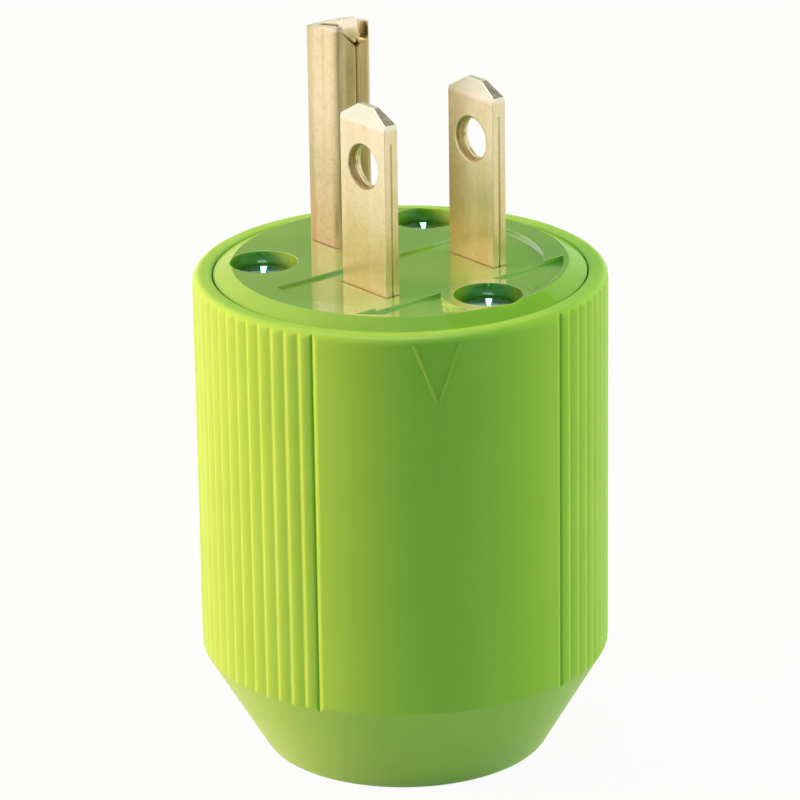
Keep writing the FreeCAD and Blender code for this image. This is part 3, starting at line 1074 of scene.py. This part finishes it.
    def mark(self) -> Piece:
        """The raised index mark, two soft ribs that meet in an open V.

        Returns:
            The new piece.
        """
        top = self.height - self.mark_drop
        foot = top - self.mark_height
        points: list[Point] = []
        faces: list[Face] = []
        for side in (-1.0, 1.0):
            faces += ring_faces(self.mark_steps + 1, len(self.mark_section), start=len(points))
            head = side * self.mark_half_width
            along = Vector((head, top - foot)).normalized()
            for step in range(self.mark_steps + 1):
                share = step / self.mark_steps
                fade = min(1.0, share * self.mark_fades[0], (1.0 - share) * self.mark_fades[1]) ** 0.5
                for across, up in self.mark_section:
                    x = head * share - along.y * across * self.mark_line / 2
                    z = foot + (top - foot) * share + along.x * across * self.mark_line / 2
                    reach = self.radius - self.mark_sink + self.mark_relief * up * fade
                    points.append(polar(reach, math.radians(self.mark_angle) + x / self.radius, z))
        return smoothed(welded(new_piece("index_mark", points, faces), self.mark_weld), self.mark_sharp)

    def bosses(self) -> Piece:
        """The three screw bosses that stand in the shell, each webbed to the wall.

        Returns:
            The new piece.
        """
        insert_foot = self.boss_top - self.insert_length
        outline = (
            (self.axis_radius, self.boss_foot[1]), self.boss_foot, (self.boss_radius, self.boss_flank_foot),
            (self.boss_radius, self.boss_top), (self.insert_radius, self.boss_top),
            (self.insert_radius, insert_foot), (self.axis_radius, insert_foot),
        )
        rings = [[pair] * self.boss_steps for pair in outline]
        size = Vector((self.web_depth, self.boss_radius, self.boss_top - self.web_foot))
        reach = self.boss_circle + self.boss_radius + self.web_depth / 2 - self.web_overlap
        middle = Vector((reach, 0.0, (self.boss_top + self.web_foot) / 2))
        mesh = bpy.data.meshes.new("screw_bosses")
        with opened(mesh) as shape:
            for angle in SCREW_ANGLES:
                turn = math.radians(angle)
                boss = lathed("boss", rings, turns(self.boss_steps), polar(self.boss_circle, turn), True)
                shape.from_mesh(boss.data)
                bpy.data.objects.remove(boss)
                web = bmesh.ops.create_cube(shape, size=1.0)["verts"]
                bmesh.ops.scale(shape, verts=web, vec=size * MM)
                bmesh.ops.translate(shape, verts=web, vec=middle * MM)
                bmesh.ops.rotate(shape, verts=web, cent=(0, 0, 0), matrix=Matrix.Rotation(turn, 3, "Z"))
        return smoothed(linked("screw_bosses", mesh))

    def dress(self, pieces: Pieces) -> None:
        """Gives the pieces their moulded finish.

        Args:
            pieces: What build made.
        """
        nylon = MouldedPlastic("green_nylon", (0.26, 0.565, 0.05), (0.245, 0.545, 0.045), scatter=0.3).make()
        for piece in pieces.values():
            dressed(piece, nylon)


@dataclass
class FacePlate:
    """The glossy face plate between the rim and the blades."""

    easing: Easing = Easing(0.17, 3, 18.0)

    def build(self) -> Pieces:
        """Builds the plate with its edges eased."""
        return {"plate": eased_copy("face_plate", "face_disc", self.easing)}

    def dress(self, pieces: Pieces) -> None:
        """Gives the plate its polished finish."""
        finish = GlossyPlastic("green_polycarbonate", (0.195, 0.47, 0.052), (0.18, 0.44, 0.048)).make()
        dressed(pieces["plate"], finish)


@dataclass
class Conductors:
    """The two flat blades, the ground pin and their clamp plates.

    The notch, tab and strap are outlines of two positions and a rounding for each corner. The notch
    counts from the pin's top, the tab from its own foot, the strap from the near wall and the top.
    """

    blade_width: float = 6.35
    blade_rounding: float = 0.1
    blade_offset: float = 6.35
    hole_drop: float = 5.7
    groove_radius: float = 2.2
    groove_width: float = 0.22
    groove_steps: int = 48
    corner_run: float = 2.1
    corner_drop: float = 1.25
    pin_rounding: float = 0.12
    pin_left: float = 2.3
    pin_right: float = 1.95
    pin_near: float = 5.84
    pin_far: float = 10.74
    pin_foot: float = 45.6
    pin_overlap: float = 0.4
    pin_top: float = 68.9
    pin_sheet: float = 0.95
    pin_sharp: float = 32.0
    foot_rounding: float = 0.05
    near_rounding: float = 1.0
    far_roundings: Pair = (0.9, 0.6)
    inner_rounding: float = 0.3
    seam_half: float = 0.012
    lip_depth: float = 0.6
    lip_roundings: Pair = (0.3, 0.15)
    outline_steps: int = 6
    small_outline_steps: int = 5
    top_slope: float = 0.155
    notch_reach: Pair = (1.0, 0.3)
    notch: Sequence[Corner] = (
        (-1.6, 1.0, 0.0), (-1.6, -0.7, 0.5), (0.0, -2.3, 0.15), (0.4, -1.9, 0.2), (1.4, -1.75, 0.5),
        (1.4, 1.0, 0.0),
    )
    tab_lean: float = 30.0
    tab_sheet: float = 0.55
    tab_stand: Pair = (-0.05, -1.85)
    tab_outline: Sequence[Corner] = (
        (-0.15, 0.0, 0.25), (0.75, 1.2, 0.45), (1.0, 2.6, 0.5), (-1.0, 2.6, 0.7), (-1.25, 1.3, 0.5),
    )
    strap_sides: Pair = (-1.1, 1.0)
    strap_outline: Sequence[Corner] = (
        (1.3, 0.25, 0.3), (4.45, -0.6, 0.5), (4.45, -1.5, 0.2), (3.9, -1.5, 0.2), (3.8, -1.1, 0.2),
        (1.3, -0.35, 0.1),
    )

    def build(self) -> Pieces:
        """Builds the brass pieces with their edges eased."""
        return {"line_strip": self.strip("line"), "neutral_strip": self.strip("neutral"), "pin": self.pin()}

    def hole(self, side: str) -> Point:
        """The middle of the detent hole of the line or neutral blade, in millimetres."""
        (x0, y0, _), (x1, y1, tip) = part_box(side + "_blade")
        return (math.copysign(self.blade_offset, x0 + x1), (y0 + y1) / 2 / MM, tip / MM - self.hole_drop)

    def strip(self, side: str) -> Piece:
        """One blade, with the corners of its tip taken off and a groove in its hole.

        Args:
            side: The blade, "line" or "neutral".

        Returns:
            The new piece.
        """
        across, middle, level = self.hole(side)
        half, tip = self.blade_width / 2 - self.corner_run, level + self.hole_drop
        cuts = [
            ((0.0, middle + way * half, tip), (0.0, way * self.corner_drop, self.corner_run))
            for way in (-1.0, 1.0)
        ]
        strip = eased_copy(side + "_blade", side + "_blade_strip", Easing(self.blade_rounding, 3, cuts=cuts))
        circle = []
        for turn in turns(self.groove_steps):
            y, z, _ = polar(self.groove_radius, turn)
            circle.append((middle + y, level + z))
        half = self.groove_width / 2
        return cut_out(strip, prism("groove", circle, across - half, across + half, "X"))

    def pin(self) -> Piece:
        """The folded pin: its packed foot below the face, and above it the tube, tab and strap.

        Returns:
            The new piece.
        """
        foot_cut = ((0.0, 0.0, self.pin_foot + self.pin_overlap), (0.0, 0.0, 1.0))
        foot = eased_copy("ground_pin", "folded_ground_pin", Easing(self.foot_rounding, cuts=[foot_cut]))
        slope = ((0.0, self.pin_near, self.pin_top), (0.0, self.top_slope, 1.0))
        parts = []
        for part, cuts in ((self.tube(), [slope]), (self.tab(), []), (self.strap(), [])):
            parts.append(eased(part, Easing(self.pin_rounding, 3, self.pin_sharp, cuts)))
        return joined(foot, parts)

    def tube(self) -> Piece:
        """The tube, with rolled lips at its seam and the notch in its near wall.

        Returns:
            The new piece.
        """
        gap, near, far, sheet = self.seam_half, self.pin_near, self.pin_far, self.pin_sheet
        left, right, lip = -self.pin_left, self.pin_right, near + self.lip_depth
        (far_right, far_left), (outer, inner) = self.far_roundings, self.lip_roundings
        inside = self.inner_rounding
        outline = rounded_corners([
            (gap, lip, 0.0), (gap, near, outer), (right, near, self.near_rounding), (right, far, far_right),
            (left, far, far_left), (left, near, self.near_rounding), (-gap, near, outer), (-gap, lip, 0.0),
            (-gap, near + sheet, inner), (left + sheet, near + sheet, inside),
            (left + sheet, far - sheet, inside), (right - sheet, far - sheet, inside),
            (right - sheet, near + sheet, inside), (gap, near + sheet, inner),
        ], self.outline_steps)
        tube = prism("tube", outline, self.pin_foot, self.pin_top, "Z")
        corners = [(across, self.pin_top + up, rounding) for across, up, rounding in self.notch]
        notch = rounded_corners(corners, self.small_outline_steps)
        before, behind = near - self.notch_reach[0], near + sheet + self.notch_reach[1]
        return cut_out(tube, prism("notch", notch, before, behind, "Y"))

    def tab(self) -> Piece:
        """The shield-shaped end of the strip, which leans in the notch.

        Returns:
            The new piece.
        """
        tab = prism("tab", rounded_corners(self.tab_outline, self.outline_steps), 0.0, self.tab_sheet, "Y")
        turn = Matrix.Rotation(math.radians(-self.tab_lean), 4, "X")
        stand = Vector((0.0, self.pin_near + self.tab_stand[0], self.pin_top + self.tab_stand[1]))
        tab.data.transform(Matrix.Translation(stand * MM) @ turn)
        return tab

    def strap(self) -> Piece:
        """The strap that carries the tab from the far wall."""
        corners = [(self.pin_near + y, self.pin_top + z, rounding) for y, z, rounding in self.strap_outline]
        return prism("strap", rounded_corners(corners, self.small_outline_steps), *self.strap_sides, "X")

    def dress(self, pieces: Pieces) -> None:
        """Gives blades, pin and clamp plates their brass.

        Args:
            pieces: What build made.
        """
        pin = Brass(
            "pin_brass_finish", (0.92, 0.81, 0.52), (0.58, 0.46, 0.22), roughness=0.28, streaks=0.45,
            worn_from=68.3, worn=(1.0, 0.88, 0.70), painted_shade_until=6.75,
        ).make()
        plate = Brass("plate_brass_finish", (0.85, 0.68, 0.38), (0.70, 0.52, 0.27), roughness=0.35).make()
        for side in ("line", "neutral"):
            blade = Brass(
                side + "_blade_finish", (0.95, 0.87, 0.62), (0.70, 0.59, 0.21), roughness=0.26,
                worn_from=62.75, hole_at=self.hole(side),
            ).make()
            dressed(pieces[side + "_strip"], blade)
        dressed(pieces["pin"], pin)
        for side in ("line", "neutral", "ground"):
            dressed(frame["nodes"][side + "_clamp_plate"], plate)


@dataclass
class Fasteners:
    """The assembly screws, the terminal screws and the threaded inserts.

    The recess is a cross of two wings, whose floor and mouth have a depth, a length and a width.
    """

    circle: float = 12.6
    head_top: float = 46.5
    head_height: float = 2.2
    head_radius: float = 2.75
    head_roundings: Point = (1.0, 0.3, 0.12)
    crown_share: float = 0.8
    crown_drop: float = 0.06
    brim_drop: float = 0.4
    shank_radius: float = 1.75
    axis_radius: float = 0.02
    tip_height: float = 15.6
    thread_length: float = 12.0
    thread_pitch: float = 0.8
    thread_depth: float = 0.18
    thread_slack: float = 0.02
    thread_fade_rows: float = 8.0
    thread_end: float = 0.02
    rows_per_turn: int = 6
    steps_round: int = 64
    rounding_steps: int = 6
    recess_spins: Point = (48.0, 57.0, 53.0)
    recess_floor: Point = (0.75, 1.8, 0.1)
    recess_mouth: Point = (-0.3, 4.4, 0.85)
    screw_sharp: float = 28.0

    def build(self) -> Pieces:
        """Builds the three assembly screws."""
        return {"screw_%d" % number: self.screw(number) for number in range(1, len(SCREW_ANGLES) + 1)}

    def thread(self) -> list[list[Pair]]:
        """The rings of the thread, which fades out at both ends.

        Returns:
            The rings, each with the radius and height of all its points.
        """
        rows = int(self.thread_length / self.thread_pitch) * self.rows_per_turn
        faded = self.thread_fade_rows
        rings = []
        for row in range(rows + 1):
            height = self.tip_height + row * self.thread_pitch / self.rows_per_turn
            fade = min(1.0, row / faded, (rows - row) / faded + self.thread_end)
            ring = []
            for step in range(self.steps_round):
                phase = (height / self.thread_pitch - step / self.steps_round) % 1.0
                tooth = abs(phase * 2.0 - 1.0)
                radius = self.shank_radius - self.thread_slack - self.thread_depth * (1.0 - tooth) * fade
                ring.append((radius, height))
            rings.append(ring)
        return rings

    def screw(self, number: int) -> Piece:
        """One assembly screw, with a domed head, a cross recess and a thread.

        Args:
            number: The screw's number.

        Returns:
            The new piece.
        """
        at = Vector(polar(self.circle, math.radians(SCREW_ANGLES[number - 1])))
        seat = self.head_top - self.head_height
        crown, brim, underside = self.head_roundings
        outline = rounded_corners([
            (self.axis_radius, self.head_top, 0.0),
            (self.head_radius * self.crown_share, self.head_top - self.crown_drop, crown),
            (self.head_radius, self.head_top - self.brim_drop, brim),
            (self.head_radius, seat, underside),
            (self.shank_radius, seat, 0.0),
            (self.shank_radius, self.tip_height + self.thread_length, 0.0),
        ], self.rounding_steps)[::-1]
        tip = (self.axis_radius, self.tip_height)
        rings = [[tip] * self.steps_round] + self.thread() + [[pair] * self.steps_round for pair in outline]
        piece = lathed("cross_head_screw_%d" % number, rings, turns(self.steps_round), at, False)
        for turned in (0.0, 90.0):
            cut_out(piece, self.wing(at, self.recess_spins[number - 1] + turned))
        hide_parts("assembly_screw_%d" % number)
        return smoothed(piece, self.screw_sharp)

    def wing(self, at: Vector, spin: float) -> Piece:
        """The cutter for one wing of the cross recess, with sloping sides.

        Args:
            at: The screw's axis.
            spin: The wing's direction in degrees.

        Returns:
            The cutter.
        """
        turn = Matrix.Rotation(math.radians(spin), 4, "Z")
        corners = []
        for depth, length, width in (self.recess_floor, self.recess_mouth):
            for x, y in SQUARE:
                corner = turn @ Vector((x * length / 2, y * width / 2, self.head_top - depth)) + at
                corners.append(tuple(corner))
        quads = ((3, 2, 1, 0), (4, 5, 6, 7), (0, 1, 5, 4), (1, 2, 6, 5), (2, 3, 7, 6), (3, 0, 4, 7))
        return new_piece("wing", corners, quads)

    def dress(self, pieces: Pieces) -> None:
        """Gives the screws and inserts their metals.

        Args:
            pieces: What build made.
        """
        # Partly painted shade and reflection: the plated heads are darkened and tinted teal-green, standing
        # for the shaded wells and their green walls mirrored in the heads.
        zinc_with_painted_shade = PlatedSteel("zinc_plate_with_painted_shade", (0.16, 0.36, 0.30), (0.06, 0.18, 0.15), roughness=0.06).make()
        for piece in pieces.values():
            dressed(piece, zinc_with_painted_shade)
        insert = Brass("insert_brass_finish", (0.82, 0.66, 0.36), (0.7, 0.52, 0.27), roughness=0.34).make()
        for number in range(1, len(SCREW_ANGLES) + 1):
            dressed(frame["nodes"]["threaded_insert_%d" % number], insert)
        brass = Brass("terminal_brass", (0.86, 0.70, 0.40), (0.72, 0.55, 0.30))
        nickel = PlatedSteel("terminal_nickel", (0.75, 0.75, 0.74), (0.6, 0.6, 0.6))
        green = PlatedSteel("terminal_green", (0.08, 0.40, 0.16), (0.05, 0.3, 0.12))
        for side, finish, slot in (
            ("line", brass, Slot.TERMINAL_BRASS),
            ("neutral", nickel, Slot.TERMINAL_STEEL),
            ("ground", green, Slot.TERMINAL_GREEN),
        ):
            dressed(frame["nodes"][side + "_terminal_screw"], finish.make())


@dataclass
class InnerParts:
    """The carrier, the cord grip and the seal."""

    seal_easing: Easing = Easing(0.15)

    def build(self) -> Pieces:
        """Builds the seal, which shows in the cord hole."""
        return {"seal": eased_copy("cord_seal", "cord_hole_seal", self.seal_easing)}

    def dress(self, pieces: Pieces) -> None:
        """Gives the inner pieces their plastics and rubber.

        Args:
            pieces: What build made.
        """
        rubber = Rubber("seal_rubber_finish", (0.02, 0.02, 0.02), (0.05, 0.05, 0.048)).make()
        dressed(pieces["seal"], rubber)
        black = MouldedPlastic("carrier_black", (0.022, 0.022, 0.024), (0.03, 0.03, 0.031), roughness=0.5)
        dressed(frame["nodes"]["terminal_carrier"], black.make())
        guide = MouldedPlastic("guide_grey", (0.06, 0.06, 0.062), (0.075, 0.075, 0.076), roughness=0.5)
        dressed(frame["nodes"]["wire_guide"], guide.make())
        jaw = MouldedPlastic("jaw_natural", (0.62, 0.61, 0.56), (0.56, 0.55, 0.5), roughness=0.45).make()
        for side in ("left", "right"):
            dressed(frame["nodes"]["cord_grip_jaw_" + side], jaw)


# Stage

@dataclass(frozen=True)
class Card:
    """A plain lit card, its direction from the camera's side in degrees, its size in millimetres."""

    name: str
    around: float
    rise: float
    distance: float
    width: float
    height: float
    colour: Colour


@dataclass(frozen=True)
class Lamp:
    """A soft square lamp, with its direction in degrees and its distance and size in metres."""

    name: str
    around: float
    rise: float
    distance: float
    size: float
    power: float
    colour: Colour


@dataclass
class Stage:
    """The floor, the cards, the lamps, the surroundings and the camera.

    The floor's shares are how white the camera sees it, and how white reflections show it.
    """

    camera_place: Point = (-267.97, -330.97, 192.69)
    camera_aim: Point = (-2.83, -3.19, 35.33)
    camera_roll: float = -0.836
    lens: float = 219.13
    sensor_width: float = 36.0
    clip: Pair = (0.01, 20.0)
    floor_radius: float = 1600.0
    floor_level: float = -0.02
    floor_steps: int = 96
    floor_colour: Colour = (0.44, 0.55, 0.43)
    floor_shares: Pair = (0.95, 0.82)
    white: Colour = (1.0, 1.0, 1.0)
    soft_colour: Colour = (0.38, 1.0, 0.58)
    soft_strength: float = 0.40
    raised_card_level: float = 40.0
    lamp_aim: Point = (0.0, 0.0, 0.03)
    card_rows: Sequence[Card] = (
        Card("back_card", 180.0, 20.0, 900.0, 560.0, 250.0, (0.22, 0.35, 0.13)),
        Card("corner_card", 130.0, 55.0, 500.0, 300.0, 300.0, (0.14, 0.12, 0.09)),
        Card("side_card", 78.0, 0.0, 120.0, 150.0, 55.0, (0.84, 0.80, 0.70)),
        Card("near_card", 0.0, 0.0, 170.0, 200.0, 50.0, (0.06, 0.05, 0.04)),
        Card("sky_card", 20.0, 86.0, 480.0, 160.0, 160.0, (9.0, 9.0, 8.5)),
    )
    lamp_rows: Sequence[Lamp] = (
        Lamp("key_lamp", -91.0, 16.0, 0.5, 0.26, 7.7, (1.0, 0.405, 0.44)),
        Lamp("fill_lamp", 106.0, 16.0, 0.5, 0.26, 2.85, (1.0, 0.64, 0.15)),
        Lamp("top_lamp", 180.0, 78.0, 0.6, 0.4, 1.6, (1.0, 0.78, 1.0)),
    )

    def build(self) -> None:
        """Sets up everything round the plug."""
        self.camera()
        self.floor()
        for card in self.card_rows:
            self.card(card)
        self.surroundings()
        for lamp in self.lamp_rows:
            self.lamp(lamp)
        bpy.context.scene.view_settings.view_transform = "Standard"

    def camera(self) -> None:
        """Places the camera."""
        data = bpy.data.cameras.new("camera")
        data.lens = self.lens
        data.sensor_width = self.sensor_width
        data.clip_start, data.clip_end = self.clip
        camera = linked("camera", data)
        place, aim = Vector(self.camera_place) * MM, Vector(self.camera_aim) * MM
        level = (aim - place).to_track_quat("-Z", "Y")
        camera.location = place
        camera.rotation_mode = "QUATERNION"
        camera.rotation_quaternion = level @ Quaternion((0.0, 0.0, 1.0), math.radians(self.camera_roll))
        bpy.context.scene.camera = camera

    def floor(self) -> None:
        """Lays the pale floor."""
        count = self.floor_steps
        rim = [polar(self.floor_radius, turn, self.floor_level) for turn in turns(count)]
        faces = [(0, 1 + step, 1 + (step + 1) % count) for step in range(count)]
        floor = new_piece("floor", [(0.0, 0.0, self.floor_level)] + rim, faces)
        recipe = Recipe(bpy.data.materials.new("pale_floor"))
        matt = recipe.node("ShaderNodeBsdfDiffuse", {"Color": self.floor_colour})
        white = recipe.node("ShaderNodeEmission", {"Color": self.white, "Strength": 1.0})
        mix = recipe.blended(recipe.shown(*self.floor_shares), matt, white)
        floor.data.materials.append(recipe.closed(mix))

    def card(self, row: Card) -> None:
        """Stands a coloured card near the plug, which only its glossy surfaces show.

        Args:
            row: What the card is like.
        """
        toward, across = self.direction(row.around, row.rise), self.direction(row.around + 90.0, 0.0)
        up = toward.cross(across)
        level = self.raised_card_level if row.rise else row.height / 2
        middle = toward * row.distance + Vector((0.0, 0.0, level))
        corners = [middle + across * x * row.width / 2 + up * y * row.height / 2 for x, y in SQUARE]
        card = new_piece(row.name, [tuple(corner) for corner in corners], [(0, 1, 2, 3)])
        recipe = Recipe(bpy.data.materials.new(row.name + "_paper"))
        bright = max(1.0, *row.colour)
        paint = tuple(part / bright for part in row.colour)
        paper = recipe.node("ShaderNodeEmission", {"Color": paint, "Strength": bright})
        card.data.materials.append(recipe.closed(paper))
        card.visible_camera = False
        card.visible_diffuse = False
        card.visible_shadow = False

    def surroundings(self) -> None:
        """Makes the surroundings white to the camera and in reflections, and softer as a light."""
        recipe = Recipe(bpy.data.worlds.new("surroundings"))
        light = {"Color": self.soft_colour, "Strength": self.soft_strength}
        soft = recipe.node("ShaderNodeBackground", light)
        white = recipe.node("ShaderNodeBackground", {"Color": self.white, "Strength": 1.0})
        bpy.context.scene.world = recipe.closed(recipe.blended(recipe.shown(1.0, 1.0), soft, white))

    def direction(self, around: float, rise: float) -> Vector:
        """A direction by its angles from the camera's side of the plug.

        Args:
            around: Degrees to the right of the camera, as the camera sees it.
            rise: Degrees above level.

        Returns:
            The direction.
        """
        near = (Vector(self.camera_place) - Vector(self.camera_aim)).xy.normalized()
        turn = math.radians(around)
        level = Vector((
            near.x * math.cos(turn) - near.y * math.sin(turn),
            near.x * math.sin(turn) + near.y * math.cos(turn),
            0.0,
        ))
        return level * math.cos(math.radians(rise)) + Vector((0.0, 0.0, math.sin(math.radians(rise))))

    def lamp(self, row: Lamp) -> None:
        """Hangs a soft lamp, which no glossy surface shows.

        Args:
            row: What the lamp is like.
        """
        toward = self.direction(row.around, row.rise)
        data = bpy.data.lights.new(row.name, "AREA")
        data.shape = "SQUARE"
        data.size = row.size
        data.energy = row.power
        data.color = row.colour
        lamp = linked(row.name, data)
        lamp.visible_glossy = False
        lamp.location = Vector(self.lamp_aim) + toward * row.distance
        lamp.rotation_mode = "QUATERNION"
        lamp.rotation_quaternion = (-toward).to_track_quat("-Z", "Y")


def main() -> None:
    """Builds and dresses the plug."""
    logging.basicConfig(level=logging.INFO, format="%(message)s")
    Stage().build()
    for assembly in (Housing(), FacePlate(), Conductors(), Fasteners(), InnerParts()):
        assembly.dress(assembly.build())


if __name__ == "__main__":
    main()
